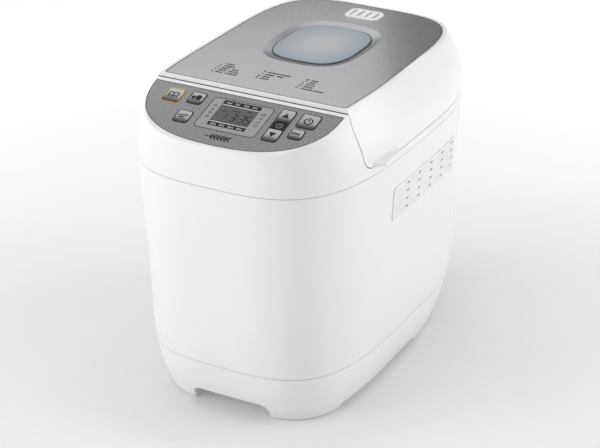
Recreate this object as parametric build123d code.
from build123d import *
from math import asin, cos, pi, radians, sin
import os

# Bread machine. Millimetres, +Z up, front faces -Y, origin on the ground under the middle.

# Outer form: height, half width, front depth, rear depth, front and rear corner exponents.
FORM = [
    (0.0, 91.3, 142.5, 160.0, 4.2, 3.6),
    (13.0, 96.3, 148.8, 165.5, 4.0, 3.5),
    (26.0, 100.8, 154.3, 170.0, 3.8, 3.4),
    (39.0, 104.4, 158.8, 173.5, 3.6, 3.4),
    (52.0, 107.0, 162.0, 175.5, 3.5, 3.4),
    (110.0, 110.0, 167.8, 177.0, 3.4, 3.3),
    (180.0, 113.4, 174.6, 178.0, 3.35, 3.25),
    (239.0, 116.1, 180.0, 178.0, 3.3, 3.2),
    (250.0, 116.2, 180.0, 178.0, 3.3, 3.2),
    (265.0, 113.6, 180.0, 175.5, 3.3, 3.4),
    (280.0, 108.4, 179.5, 168.5, 3.3, 3.7),
    (292.0, 103.2, 177.5, 160.0, 3.6, 4.0),
    (300.0, 99.6, 175.0, 153.5, 4.2, 4.2),
    (304.0, 97.2, 172.0, 150.0, 4.5, 4.3),
]
OUTLINE_POINTS = 28
WALL = 2.4
TOP = 304.0

# Seams
BASE_SEAM = 52.0
UPPER_SEAM = 239.0
RING_TOP = 247.0
LID_BOTTOM = 247.8
LID_FRONT = -105.0
LIP_REACH = 121.2
SEAM_GAP = 0.5

# Sloped control deck
DECK_TILT = 17.0
DECK_Y = -106.0
DECK_Z = 300.2
DECK = Plane(
    origin=(0, DECK_Y, DECK_Z),
    x_dir=(1, 0, 0),
    z_dir=(0, -sin(radians(DECK_TILT)), cos(radians(DECK_TILT))),
)
PANEL_HALF = 94.5
PANEL_DEPTH = 73.6
PANEL_REAR = 4.5
PANEL_THICK = 1.6
PANEL_EXPONENT = 2.5

# Buttons: middle across, distance down the deck, width, height
BUTTONS = {
    "menu_button": (-67.7, 20.6, 15.6, 17.4),
    "loaf_button": (-44.9, 18.7, 12.6, 14.4),
    "crust_button": (-44.2, 45.5, 12.6, 14.4),
    "up_button": (44.9, 18.0, 12.8, 15.0),
    "down_button": (44.9, 45.5, 12.8, 15.0),
    "start_button": (67.6, 19.1, 16.4, 17.4),
    "preset_button": (65.2, 38.1, 11.2, 12.0),
}
BUTTON_GAP = 0.45
BUTTON_PROUD = 0.9
BUTTON_TRAVEL = 0.8
LCD_AT = (0.0, 30.8)
LCD_SIZE = (37.6, 35.8)

# Cooking space
MIDDLE_Y = 31.0
CHAMBER = (160.0, 206.0, 29.0)
CHAMBER_WALL = 1.0
CHAMBER_FLOOR = 58.0
CHAMBER_TOP = 241.2
FRAME_OPENING = (160.6, 206.6, 22.0)

CHAMBER_SCREWS = [(-50, -77.3), (-50, 139.3), (50, -77.3), (50, 139.3)]

# Bread pan
PAN_TOP = (131.0, 175.0, 25.0)
PAN_BOTTOM = (124.0, 168.0, 22.0)
PAN_WALL = 1.2
PAN_FLOOR = 74.0
PAN_RIM = 206.0
PIVOT_Z = 198.0
HANDLE_REACH = 72.5
HANDLE_ARM = 94.5

# Drive
SHAFT_R = 5.0
RUNNING = 0.06
PULLEY_R = 48.0
MOTOR_PULLEY_R = 9.0
MOTOR_Y = -117.0
BELT_CLEARANCE = 0.2
BELT_THICK = 2.2
MOTOR_R = 33.0

# Lid hinge
HINGE_Y = 175.0
HINGE_Z = 251.0
KNUCKLE_R = 5.0
HINGE_X = 43.0

# Lid details: half sizes of the dished window recess, its floor and the glass
WINDOW_AT = (-1.2, 33.0)
RECESS = (46.9, 60.0)
WINDOW = (39.8, 50.2)
GLASS = (41.2, 52.0)
VENT_AT = (-1.1, 121.3)
VENT_SIZE = (35.2, 23.8)
LID_SCREWS = [(-93, -60), (-93, 110), (93, -60), (93, 110)]


def superellipse(half_x, front, rear, n_front, n_rear, count=OUTLINE_POINTS):
    points = []
    for i in range(count):
        t = 2 * pi * i / count
        c = cos(t)
        s = sin(t)
        n = n_rear if s >= 0 else n_front
        depth = rear if s >= 0 else front
        x = half_x * abs(c) ** (2 / n) * (1 if c >= 0 else -1)
        y = depth * abs(s) ** (2 / n) * (1 if s >= 0 else -1)
        points.append((x, y))
    return make_face(Spline(*points, periodic=True))


def form(inset=0.0):
    sections = []
    for z, half, front, rear, n_front, n_rear in FORM:
        face = superellipse(half - inset, front - inset, rear - inset, n_front, n_rear)
        sections.append(Pos(0, 0, z) * face)
    return loft(sections)


def block(x0, x1, y0, y1, z0, z1):
    middle = Pos((x0 + x1) / 2, (y0 + y1) / 2, (z0 + z1) / 2)
    return middle * Box(x1 - x0, y1 - y0, z1 - z0)


def slab(z0, z1):
    return block(-200, 200, -300, 300, z0, z1)


def rounded_prism(size, z0, z1, grow=0.0, y=MIDDLE_Y):
    width, length, radius = size
    face = RectangleRounded(width + 2 * grow, length + 2 * grow, radius + grow)
    return Pos(0, y, z0) * extrude(face, z1 - z0)


def rounded_loft(low, high, z0, z1):
    bottom = Pos(0, MIDDLE_Y, z0) * RectangleRounded(*low)
    top = Pos(0, MIDDLE_Y, z1) * RectangleRounded(*high)
    return loft([bottom, top])


def squircle_prism(half_x, half_y, z0, z1):
    face = superellipse(half_x, half_y, half_y, 3.0, 3.0, 24)
    return Pos(*WINDOW_AT, z0) * extrude(face, z1 - z0)


def squircle_loft(low, high, z0, z1):
    bottom = Pos(*WINDOW_AT, z0) * superellipse(low[0], low[1], low[1], 3.0, 3.0, 24)
    top = Pos(*WINDOW_AT, z1) * superellipse(high[0], high[1], high[1], 3.0, 3.0, 24)
    return loft([bottom, top], ruled=True)


def rod(radius, x, y, z0, z1):
    return Pos(x, y, (z0 + z1) / 2) * Cylinder(radius, z1 - z0)


def rod_x(radius, x0, x1, y, z):
    return Pos((x0 + x1) / 2, y, z) * Rot(0, 90, 0) * Cylinder(radius, x1 - x0)


def rod_y(radius, x, y0, y1, z):
    return Pos(x, (y0 + y1) / 2, z) * Rot(90, 0, 0) * Cylinder(radius, y1 - y0)


def on_deck(x, s, h, shape):
    return DECK.location * Pos(x, -s, h) * shape


def deck_plate(x, s, width, height, radius, low, high):
    face = RectangleRounded(width, height, radius)
    return on_deck(x, s, low, extrude(face, high - low))


def deck_outline(grow, low, high):
    face = superellipse(PANEL_HALF + grow, PANEL_DEPTH + grow, 60, PANEL_EXPONENT, 2.5)
    solid = on_deck(0, 0, low, extrude(face, high - low))
    return solid - on_deck(0, PANEL_REAR - grow - 100, 0, Box(300, 200, 60))


def above_deck(height):
    return on_deck(0, 0, height + 100, Box(400, 600, 200))


OUTER = form()
INNER = form(WALL)
BASE_INNER = form(3.0)


def corners(xs, ys):
    return [(x, y) for x in xs for y in ys]


def level_ring(z0, z1, at, outer_inset, inner_inset):
    level = [row for row in FORM if row[0] >= at][0]
    half, front, rear, n_front, n_rear = level[1:]
    rings = []
    for inset in (outer_inset, inner_inset):
        face = superellipse(half - inset, front - inset, rear - inset, n_front, n_rear)
        rings.append(Pos(0, 0, z0) * extrude(face, z1 - z0))
    return rings[0] - rings[1]


def base_tray():
    body = OUTER & slab(1.2, BASE_SEAM - SEAM_GAP / 2)
    front_tunnel = Box(80, 500, 32)
    front_tunnel = fillet(front_tunnel.edges().filter_by(Axis.Y).group_by(Axis.Z)[-1], 9)
    side_tunnel = Pos(0, -20, 0) * Box(400, 154, 11)
    side_tunnel = fillet(side_tunnel.edges().filter_by(Axis.X).group_by(Axis.Z)[-1], 5)
    floor_blocks = [block(-43, 43, -300, 300, 0, 19), block(-300, 300, -100, 60, 0, 8.6)]
    cavity = (BASE_INNER & slab(4.2, BASE_SEAM + 20)) - floor_blocks
    body = body - [front_tunnel, side_tunnel, cavity]
    adds = [level_ring(BASE_SEAM - 5, BASE_SEAM + 4, BASE_SEAM, WALL + 0.4, WALL + 2.4)]
    cuts = [rod_y(7, 40, 150, 190, 36), rod_y(9.3, 40, 168.6, 190, 36)]
    for x, y in corners((-34, 34), (MOTOR_Y - 26, MOTOR_Y + 26)):
        adds.append(rod(5, x, y, 17, 41))
        adds.append(rod(2.3, x, y, 40, 47.5))
    for y in (-15, 45):
        adds.append(block(-94, -86, y - 4, y + 4, 6, 30))
    for x, y in corners((-62, 62), (-118, 122)):
        cuts.append(rod(9.2, x, y, 0, 2.6))
    for x, y in corners((-75, 75), (-84, 100)):
        adds.append(rod(5, x, y, 7 if y < 0 else 3, 44))
        cuts.append(rod(1.6, x, y, -1, 40))
        cuts.append(rod(3.4, x, y, -1, 8))
    return body + adds - cuts


def rubber_feet():
    feet = []
    for x, y in corners((-62, 62), (-118, 122)):
        feet.append(chamfer(rod(9, x, y, 0, 2.6).edges().group_by(Axis.Z)[0], 0.5))
    return Compound(children=feet)


def base_screws():
    screws = []
    for x, y in corners((-75, 75), (-84, 100)):
        screw = rod(1.6, x, y, 8, 30) + rod(3.1, x, y, 5.6, 8)
        screws.append(screw - block(x - 2, x + 2, y - 0.4, y + 0.4, 5, 6.6))
    return Compound(children=screws)


def vent_pads():
    face = Plane.YZ * Pos(23.7, 194) * RectangleRounded(142.5, 34.5, 5)
    return extrude(face, 150, both=True) & form(-1.0)


def body_shell():
    shell = OUTER & slab(BASE_SEAM + SEAM_GAP / 2, UPPER_SEAM - SEAM_GAP / 2)
    slots = []
    for i in range(5):
        for j in range(4):
            y = -19.5 + 25.9 * i
            z = 195.4 + 8 * (j - 1.5)
            slots.append(Plane.YZ * Pos(y, z) * SlotOverall(4.8, 2.4))
    holes = [extrude(slot, 150, both=True) for slot in slots]
    return shell + vent_pads() - [INNER, *holes]


def behind_parting(front, foot, bottom, radius):
    """All that is behind the curved line, seen from the side, where the lid meets the console."""
    points = [(front, 330), (front, 297), (foot, bottom), (300, bottom), (300, 330)]
    face = make_face(Polyline(points, close=True))
    face = fillet(face.vertices().sort_by_distance((foot, bottom, 0))[0], radius)
    face = fillet(face.vertices().sort_by_distance((front, 297, 0))[0], 80)
    return extrude(Plane.YZ * face, 200, both=True)


def top_frame():
    frame = OUTER & slab(UPPER_SEAM + SEAM_GAP / 2, TOP + 5)
    frame -= [above_deck(0), behind_parting(LID_FRONT - 0.8, -100.0, RING_TOP, 13.6)]
    hollow = INNER & slab(200, RING_TOP - 2.4)
    house = INNER & block(-200, 200, -300, LID_FRONT - 3.4, 200, 400)
    house -= above_deck(-PANEL_THICK - 2.2)
    adds = [level_ring(UPPER_SEAM - 4, UPPER_SEAM + 6, UPPER_SEAM, WALL + 0.4, WALL + 2.4)]
    adds.append(rounded_prism(FRAME_OPENING, CHAMBER_TOP, RING_TOP, 2.5))
    cuts = [rounded_prism(FRAME_OPENING, CHAMBER_TOP - 20, RING_TOP + 10)]
    for x, y in CHAMBER_SCREWS:
        adds.append(rod(4, x, y, CHAMBER_TOP, RING_TOP - 1))
        cuts.append(rod(1.5, x, y, CHAMBER_TOP - 1, RING_TOP - 2))
    cuts.append(deck_outline(0.3, -PANEL_THICK, 5))
    for x, s, width, height in BUTTONS.values():
        cuts.append(deck_plate(x, s, width + 4.4, height + 4.4, 2.5, -12, 5))
    cuts.append(deck_plate(*LCD_AT, LCD_SIZE[0] + 4, LCD_SIZE[1] + 4, 2, -12, 5))
    cuts.append(block(-80, 80, 168, 300, RING_TOP - 1.8, 300))
    for side in (-1, 1):
        cuts.append(block(side * HINGE_X - 14.3, side * HINGE_X + 14.3, 158, 300, 242, 300))
    return frame - [hollow, house] + adds - cuts


def control_panel():
    cuts = [deck_plate(*LCD_AT, *LCD_SIZE, 1, -3, 3)]
    gap = 2 * BUTTON_GAP
    for x, s, width, height in BUTTONS.values():
        cuts.append(deck_plate(x, s, width + gap, height + gap, 2.4, -3, 3))
    return deck_outline(0, -PANEL_THICK, 0) - cuts


def menu_light_ring():
    x, s, width, height = BUTTONS["menu_button"]
    outer = deck_plate(x, s, width + 3.2, height + 3.2, 3.6, 0, 0.35)
    return outer - deck_plate(x, s, width + 1.6, height + 1.6, 2.8, -1, 1)


def lcd_window():
    window = deck_plate(*LCD_AT, LCD_SIZE[0], LCD_SIZE[1], 1, -PANEL_THICK, -0.3)
    flange = deck_plate(*LCD_AT, LCD_SIZE[0] + 3.4, LCD_SIZE[1] + 3.4, 2, -PANEL_THICK - 1, -PANEL_THICK)
    return window + flange


def lcd_module():
    return deck_plate(*LCD_AT, LCD_SIZE[0] - 1, LCD_SIZE[1] - 1, 1, -8.0, -PANEL_THICK - 1.2)


def control_board():
    board = deck_plate(0, 33, 156, 50, 3, -10.6, -9.0)
    corner = deck_plate(-72, 66, 70, 24, 1, -12, -8)
    return board - corner - deck_plate(72, 66, 70, 24, 1, -12, -8)


def button_switches():
    switches = []
    for x, s, width, height in BUTTONS.values():
        switches.append(deck_plate(x, s, 6, 6, 0.6, -9.0, -6.4))
    return Compound(children=switches)


def button(name):
    x, s, width, height = BUTTONS[name]
    cap = deck_plate(x, s, width, height, 2, -4.6, BUTTON_PROUD)
    cap = fillet(cap.faces().sort_by(Axis((0, 0, 0), DECK.z_dir))[-1].edges(), 0.5)
    flange = deck_plate(x, s, width + 3, height + 3, 2, -4.6, -3.4)
    return cap + flange


def chamber():
    body = rounded_prism(CHAMBER, CHAMBER_FLOOR - 1.2, CHAMBER_TOP, CHAMBER_WALL)
    flange = rounded_prism(CHAMBER, CHAMBER_TOP - 1.2, CHAMBER_TOP, 8.5)
    cuts = [rounded_prism(CHAMBER, CHAMBER_FLOOR, CHAMBER_TOP + 1)]
    cuts.append(rod(11, 0, MIDDLE_Y, 50, 62))
    cuts.append(rod_y(3.0, 0, -85, -65, 110))
    for x in (-14, 14):
        cuts.append(rod_y(3.4, x, 125, 145, 78))
    for x, y in CHAMBER_SCREWS:
        cuts.append(rod(1.7, x, y, 230, 250))
    return body + flange - cuts


def chamber_screws():
    screws = []
    for x, y in CHAMBER_SCREWS:
        screw = rod(1.5, x, y, CHAMBER_TOP - 1.2, CHAMBER_TOP + 3.8)
        screws.append(screw + rod(2.8, x, y, CHAMBER_TOP - 3.2, CHAMBER_TOP - 1.2))
    return Compound(children=screws)


def heating_element():
    rear = MIDDLE_Y + 95
    front = MIDDLE_Y - 95
    corners = [
        (14, 145, 78), (14, rear, 78), (72, rear, 78), (72, front, 78),
        (-72, front, 78), (-72, rear, 78), (-14, rear, 78), (-14, 145, 78),
    ]
    path = FilletPolyline(*corners, radius=9)
    return sweep(Plane(origin=corners[0], z_dir=(0, -1, 0)) * Circle(3.2), path=path)


def element_clips():
    clips = []
    for side in (-1, 1):
        for y in (MIDDLE_Y - 50, MIDDLE_Y + 50):
            x0, x1 = sorted((side * 71.0, side * 80.0))
            clip = block(x0, x1, y - 4, y + 4, 73, 83)
            clips.append(clip - rod_y(3.2, side * 72, y - 6, y + 6, 78))
    return Compound(children=clips)


def temperature_sensor():
    return rod_y(3.0, 0, -86, -62, 110) + rod_y(6, 0, -76.5, -73, 110)


def thermal_fuse():
    capsule = rod_y(2.4, 84.6, 20, 42, 130)
    return capsule + block(81, 84.6, 26, 36, 126, 134)


def pan_clips():
    clips = []
    for side in (-1, 1):
        def place(a, b, z0, z1):
            x0, x1 = sorted((side * a, side * b))
            return block(x0, x1, MIDDLE_Y - 9, MIDDLE_Y + 9, z0, z1)
        clips.append(place(45.6, 60, 58, 59.2) + place(45.6, 46.8, 58, 72) + place(45.6, 50, 71, 72))
    return Compound(children=clips)


def drive_support():
    body = rod(34, 0, MIDDLE_Y, 53.6, CHAMBER_FLOOR - 1.2)
    body += rod(11, 0, MIDDLE_Y, 38, 62)
    body += block(-70, 70, MIDDLE_Y - 7, MIDDLE_Y + 7, 50.6, CHAMBER_FLOOR - 1.2)
    return body - rod(8, 0, MIDDLE_Y, 30, 70)


def shaft_bushes():
    low = rod(8, 0, MIDDLE_Y, 38, 45) - rod(SHAFT_R + RUNNING, 0, MIDDLE_Y, 30, 70)
    high = rod(8, 0, MIDDLE_Y, 55, 62) - rod(SHAFT_R + RUNNING, 0, MIDDLE_Y, 30, 70)
    return Compound(children=[low, high])


def drive_shaft():
    return rod(SHAFT_R, 0, MIDDLE_Y, 23, 66)


def drive_coupler():
    disc = rod(11, 0, MIDDLE_Y, 62.5, 66.0) - rod(SHAFT_R, 0, MIDDLE_Y, 60, 67)
    for side in (-1, 1):
        x0, x1 = sorted((side * 7.2, side * 10.6))
        disc += block(x0, x1, MIDDLE_Y - 3.2, MIDDLE_Y + 3.2, 65, 70)
    return disc


def drive_pulley():
    wheel = rod(PULLEY_R + 1.5, 0, MIDDLE_Y, 25, 36.5)
    belt_seat = rod(PULLEY_R + 3, 0, MIDDLE_Y, 26.4, 35.1)
    wheel -= belt_seat - rod(PULLEY_R, 0, MIDDLE_Y, 20, 40)
    wheel -= rod(PULLEY_R - 3.5, 0, MIDDLE_Y, 29.5, 40) - rod(11, 0, MIDDLE_Y, 20, 40)
    for i in range(6):
        wheel -= Pos(0, MIDDLE_Y, 0) * Rot(0, 0, 60 * i) * rod(8.5, 28, 0, 20, 40)
    return wheel - rod(SHAFT_R, 0, MIDDLE_Y, 20, 40)


def belt_hull(grow):
    big = Pos(0, MIDDLE_Y) * Circle(PULLEY_R + grow)
    small = Pos(0, MOTOR_Y) * Circle(MOTOR_PULLEY_R + grow)
    return make_hull(big.edges() + small.edges())


def drive_belt():
    outside = extrude(belt_hull(BELT_CLEARANCE + BELT_THICK), 8)
    inside = extrude(belt_hull(BELT_CLEARANCE), 8)
    return Pos(0, 0, 26.75) * (outside - inside)


def motor_body():
    can = rod(MOTOR_R, 0, MOTOR_Y, 46.5, 104)
    can = fillet(can.edges().group_by(Axis.Z)[-1], 3)
    can -= rod(MOTOR_R - 3, 0, MOTOR_Y, 50, 100)
    for i in range(8):
        can -= Pos(0, MOTOR_Y, 0) * Rot(0, 0, 45 * i) * block(26, 40, -4, 4, 58, 92)
    return can - rod(4 + RUNNING, 0, MOTOR_Y, 40, 110)


def motor_mount():
    plate = Pos(0, MOTOR_Y, 44) * extrude(RectangleRounded(84, 66, 8), 2.5)
    cuts = [rod(12, 0, MOTOR_Y, 40, 50)]
    for x, y in corners((-34, 34), (MOTOR_Y - 26, MOTOR_Y + 26)):
        cuts.append(rod(2.5, x, y, 40, 50))
    return plate - cuts


def motor_grommets():
    rings = []
    for x, y in corners((-34, 34), (MOTOR_Y - 26, MOTOR_Y + 26)):
        rings.append(rod(5, x, y, 41, 44) - rod(2.5, x, y, 40, 50))
    return Compound(children=rings)


def motor_shaft():
    return rod(4, 0, MOTOR_Y, 24.5, 118)


def rotor_core():
    return rod(27, 0, MOTOR_Y, 56, 94) - rod(4, 0, MOTOR_Y, 50, 100)


def motor_pulley():
    wheel = rod(MOTOR_PULLEY_R + 1.5, 0, MOTOR_Y, 25, 37)
    belt_seat = rod(MOTOR_PULLEY_R + 3, 0, MOTOR_Y, 26.4, 35.1)
    wheel -= belt_seat - rod(MOTOR_PULLEY_R, 0, MOTOR_Y, 20, 40)
    return wheel - rod(4, 0, MOTOR_Y, 20, 40)


def motor_fan():
    fan = rod(8, 0, MOTOR_Y, 106, 116) + rod(28, 0, MOTOR_Y, 106, 107.2)
    for i in range(9):
        fan += Pos(0, MOTOR_Y, 0) * Rot(0, 0, 40 * i) * block(6, 28, -0.7, 0.7, 107, 115)
    return fan - rod(4, 0, MOTOR_Y, 100, 120)


def motor_capacitor():
    return fillet(rod(14, 62, -108, 8.6, 46).edges().group_by(Axis.Z)[-1], 2)


def power_board():
    board = block(-90.8, -89.2, -25, 55, 30, 104)
    board += block(-89.2, -83.2, -20, 8, 34, 54)
    board += block(-98.0, -90.8, 14, 40, 60, 84)
    board += rod_x(6, -101, -90.8, -10, 84)
    return board


def inlet_gland():
    gland = rod_y(7, 40, 160, 170, 36) + rod_y(9, 40, 168.6, 173.2, 36)
    return gland - rod_y(3.4, 40, 150, 180, 36)


def hinge_brackets():
    brackets = []
    for side in (-1, 1):
        middle = side * HINGE_X
        bracket = block(middle - 13.5, middle + 13.5, 159, 174, 242, 244.4)
        for x in (middle - 10.5, middle + 10.5):
            bracket += block(x - 3, x + 3, 168, 180, 242, HINGE_Z) & rod_x(13.0, x - 3, x + 3, 170, 251)
            bracket += rod_x(KNUCKLE_R, x - 3, x + 3, HINGE_Y, HINGE_Z)
        bracket -= block(middle - 20, middle + 20, 176.5, 190, 230, 246)
        brackets.append(bracket - rod_x(2.4, middle - 20, middle + 20, HINGE_Y, HINGE_Z))
    return Compound(children=brackets)


def hinge_pins():
    pins = []
    for side in (-1, 1):
        middle = side * HINGE_X
        pins.append(rod_x(2.4, middle - 13.5, middle + 13.5, HINGE_Y, HINGE_Z))
    return Compound(children=pins)





def lid_shell():
    lid = OUTER & behind_parting(LID_FRONT, -98.4, LID_BOTTOM, 12) & slab(200, TOP)
    hollow = INNER & behind_parting(LID_FRONT + WALL, -95.6, 252.4, 6) & slab(200, TOP - 3.8)
    lid -= [hollow, INNER & block(-200, 200, -88.5, 300, 200, 253)]
    adds = [squircle_prism(51.0, 64.0, 298.0, TOP - 1.4)]
    cuts = [squircle_prism(47.9, 60.9, 301.0, TOP + 5), squircle_prism(43.6, 54.6, 290, 310)]
    cuts.append(panel_outline(0.5, TOP - 1.4, TOP + 5))
    cuts.append(steam_hole(0.0))
    for side in (-1, 1):
        outline = [(110, -88), (113.5, -88), (LIP_REACH, -79), (LIP_REACH, -50), (113.5, -41), (110, -41)]
        lip = make_face(Polyline([(side * x, y) for x, y in outline], close=True))
        adds.append(Pos(0, 0, LID_BOTTOM) * extrude(lip, 2.6, dir=(0, 0, 1)))
    for side in (-1, 1):
        middle = side * HINGE_X
        lid -= block(middle - 14.3, middle + 14.3, 160, 200, 240, 257.6)
        adds.append(block(middle - 7, middle + 7, 170.5, 175.5, HINGE_Z, 262) & OUTER)
        adds.append(rod_x(KNUCKLE_R, middle - 7, middle + 7, HINGE_Y, HINGE_Z))
        cuts.append(rod_x(2.5, middle - 10, middle + 10, HINGE_Y, HINGE_Z))
    for x, y in LID_SCREWS:
        adds.append(rod(3.6, x, y, 251.8, TOP - 3) & OUTER)
        cuts.append(rod(1.4, x, y, 250, 268))
    return lid + adds - cuts


def panel_outline(grow, z0, z1):
    face = superellipse(93.6 + grow, 170 + grow, 146.4 + grow, 4.6, 4.3)
    face -= Pos(0, -101.6 - grow - 150) * Rectangle(400, 300)
    face = fillet(face.vertices().group_by(Axis.Y)[0], 4)
    return Pos(0, 0, z0) * extrude(face, z1 - z0)


def steam_hole(grow):
    face = RectangleRounded(31 + 2 * grow, 20 + 2 * grow, 5)
    return Pos(*VENT_AT, TOP - 12) * extrude(face, 20)


def lid_panel():
    plate = panel_outline(0, TOP - 1.4, TOP) + squircle_prism(47.5, 60.5, 301.4, TOP - 1)
    bowl = squircle_loft(WINDOW, RECESS, TOP - 1.6, TOP)
    return plate - [bowl, squircle_prism(*WINDOW, 300, TOP - 1), steam_hole(1.2)]


def window_gasket():
    ring = squircle_prism(43.5, 54.5, 298.0, 301.4) + squircle_prism(39.7, 50.1, 301.4, 303.0)
    cuts = [squircle_prism(*GLASS, 299.2, 301.0), squircle_prism(38.9, 49.3, 300.9, 305)]
    return ring - [*cuts, squircle_prism(37.6, 48.2, 290, 305)]


def window_glass():
    pane = squircle_prism(*GLASS, 299.2, 301.0) + squircle_prism(38.9, 49.3, 300.9, 302.8)
    return pane + squircle_loft((38.9, 49.3), (38.1, 48.5), 302.8, 303.6)


def inner_glass():
    return squircle_prism(43, 55, 278.2, 281.2)


def lid_liner():
    flange = INNER & slab(250.8, 251.8) & block(-200, 200, -87.5, 157, 240, 260)
    outside = rounded_loft((170, 214, 34), (158, 204, 28), 250.8, 278.2)
    inside = rounded_loft((168, 212, 33), (156, 202, 27), 250.8, 277.2)
    cuts = [inside, squircle_prism(39, 51, 270, 290)]
    for x in (-12, 0, 12):
        cuts.append(rod(3, x, 108, 270, 290))
    for x, y in LID_SCREWS:
        cuts.append(rod(1.7, x, y, 240, 260))
    return flange + outside - cuts


def lid_seal():
    ring = rounded_prism(CHAMBER, 247.4, 250.8, 10)
    return ring - rounded_prism(CHAMBER, 240, 260, 6)


def steam_vent():
    x, y = VENT_AT
    cover = extrude(RectangleRounded(*VENT_SIZE, 6.4), 1.6)
    cover = chamfer(cover.edges().group_by(Axis.Z)[-1], 0.7)
    vent = Pos(x, y, TOP) * cover + Pos(x, y, TOP - 2.6) * extrude(RectangleRounded(31, 20, 5), 3.0)
    cuts = [Pos(x, y, TOP + 1.2) * extrude(RectangleRounded(31.4, 20, 4.6), 1)]
    for i in range(4):
        slot = Rot(0, 0, 90) * SlotOverall(16, 2.6)
        cuts.append(Pos(x + 8.1 * (i - 1.5), y + 0.6, 290) * extrude(slot, 30))
    return vent - cuts


def lid_screws():
    screws = []
    for x, y in LID_SCREWS:
        screws.append(rod(1.4, x, y, 250.8, 262) + rod(2.8, x, y, 249.0, 250.8))
    return Compound(children=screws)


def pan():
    outside = rounded_loft(PAN_BOTTOM, PAN_TOP, PAN_FLOOR, PAN_RIM)
    inside_low = (PAN_BOTTOM[0] - 2.4, PAN_BOTTOM[1] - 2.4, PAN_BOTTOM[2] - 1.2)
    inside_high = (PAN_TOP[0] - 2.4, PAN_TOP[1] - 2.4, PAN_TOP[2] - 1.2)
    inside = rounded_loft(inside_low, inside_high, PAN_FLOOR + 1.2, PAN_RIM + 0.1)
    rim = rounded_prism(PAN_TOP, PAN_RIM - 2.4, PAN_RIM, 2.8)
    body = outside + rim
    for side in (-1, 1):
        y0, y1 = sorted((MIDDLE_Y + side * 85.0, MIDDLE_Y + side * 91.2))
        body += block(-9, 9, y0, y1, PIVOT_Z - 7, PAN_RIM - 1)
    body -= inside
    return body - rod(8, 0, MIDDLE_Y, 60, 90)


def pan_base():
    ring = rod(45, 0, MIDDLE_Y, 58.4, PAN_FLOOR) - rod(41, 0, MIDDLE_Y, 50, PAN_FLOOR - 2.5)
    return ring - rod(8, 0, MIDDLE_Y, 60, 80)


def shaft_seal():
    return rod(8, 0, MIDDLE_Y, 71.5, 78) - rod(4 + RUNNING, 0, MIDDLE_Y, 60, 90)


def handle_rivets():
    rivets = []
    for side in (-1, 1):
        y0, y1 = sorted((MIDDLE_Y + side * 91.2, MIDDLE_Y + side * 97.6))
        h0, h1 = sorted((MIDDLE_Y + side * 96.4, MIDDLE_Y + side * 98.0))
        rivets.append(rod_y(3, 0, y0, y1, PIVOT_Z) + rod_y(5, 0, h0, h1, PIVOT_Z))
    return Compound(children=rivets)


def pan_handle():
    front = MIDDLE_Y - HANDLE_ARM
    rear = MIDDLE_Y + HANDLE_ARM
    start = (5, front, PIVOT_Z)
    far_front = (HANDLE_REACH, front, PIVOT_Z)
    far_rear = (HANDLE_REACH, rear, PIVOT_Z)
    path = FilletPolyline(start, far_front, far_rear, (5, rear, PIVOT_Z), radius=30)
    handle = sweep(Plane(origin=start, z_dir=(1, 0, 0)) * Circle(2.4), path=path)
    for y in (front, rear):
        handle += rod_y(6.4, 0, y - 1.6, y + 1.6, PIVOT_Z)
        handle -= rod_y(3 + RUNNING, 0, y - 3, y + 3, PIVOT_Z)
    return handle


def paddle():
    hub = rod(9, 0, MIDDLE_Y, 79, 96)
    blade = block(4, 38, MIDDLE_Y - 2, MIDDLE_Y + 2, 79, 104)
    blade -= Pos(38, MIDDLE_Y, 108) * Rot(90, 0, 0) * Cylinder(20, 20)
    body = hub + blade
    return body - rod(4, 0, MIDDLE_Y, 70, 93)


def pan_shaft():
    return rod(4, 0, MIDDLE_Y, 67, 93)


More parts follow.
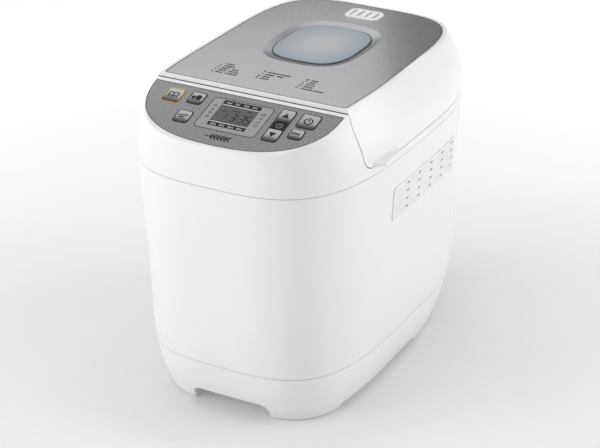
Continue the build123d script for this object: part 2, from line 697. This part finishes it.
def wing_coupler():
    wing = block(-10.4, 10.4, MIDDLE_Y + 3.6, MIDDLE_Y + 6.6, 66.6, 70.6)
    wing += block(-10.4, 10.4, MIDDLE_Y - 6.6, MIDDLE_Y - 3.6, 66.6, 70.6)
    wing += rod(6.8, 0, MIDDLE_Y, 66.6, 70.6)
    return wing - rod(4, 0, MIDDLE_Y, 60, 80)


NODES = {
    "base_tray": base_tray,
    "rubber_feet": rubber_feet,
    "base_screws": base_screws,
    "body_shell": body_shell,
    "top_frame": top_frame,
    "control_panel": control_panel,
    "menu_light_ring": menu_light_ring,
    "lcd_window": lcd_window,
    "lcd_module": lcd_module,
    "control_board": control_board,
    "button_switches": button_switches,
    "chamber": chamber,
    "chamber_screws": chamber_screws,
    "heating_element": heating_element,
    "element_clips": element_clips,
    "temperature_sensor": temperature_sensor,
    "thermal_fuse": thermal_fuse,
    "pan_clips": pan_clips,
    "drive_support": drive_support,
    "shaft_bushes": shaft_bushes,
    "drive_shaft": drive_shaft,
    "drive_coupler": drive_coupler,
    "drive_pulley": drive_pulley,
    "drive_belt": drive_belt,
    "motor_body": motor_body,
    "motor_mount": motor_mount,
    "motor_grommets": motor_grommets,
    "motor_shaft": motor_shaft,
    "rotor_core": rotor_core,
    "motor_pulley": motor_pulley,
    "motor_fan": motor_fan,
    "motor_capacitor": motor_capacitor,
    "power_board": power_board,
    "inlet_gland": inlet_gland,
    "hinge_brackets": hinge_brackets,
    "hinge_pins": hinge_pins,
    "lid_shell": lid_shell,
    "lid_panel": lid_panel,
    "window_gasket": window_gasket,
    "window_glass": window_glass,
    "inner_glass": inner_glass,
    "lid_liner": lid_liner,
    "lid_seal": lid_seal,
    "steam_vent": steam_vent,
    "lid_screws": lid_screws,
    "pan": pan,
    "pan_base": pan_base,
    "shaft_seal": shaft_seal,
    "handle_rivets": handle_rivets,
    "pan_handle": pan_handle,
    "paddle": paddle,
    "pan_shaft": pan_shaft,
    "wing_coupler": wing_coupler,
}

os.makedirs("parts", exist_ok=True)
for name, make in NODES.items():
    export_step(make(), f"parts/{name}.step")
for name in BUTTONS:
    export_step(button(name), f"parts/{name}.step")
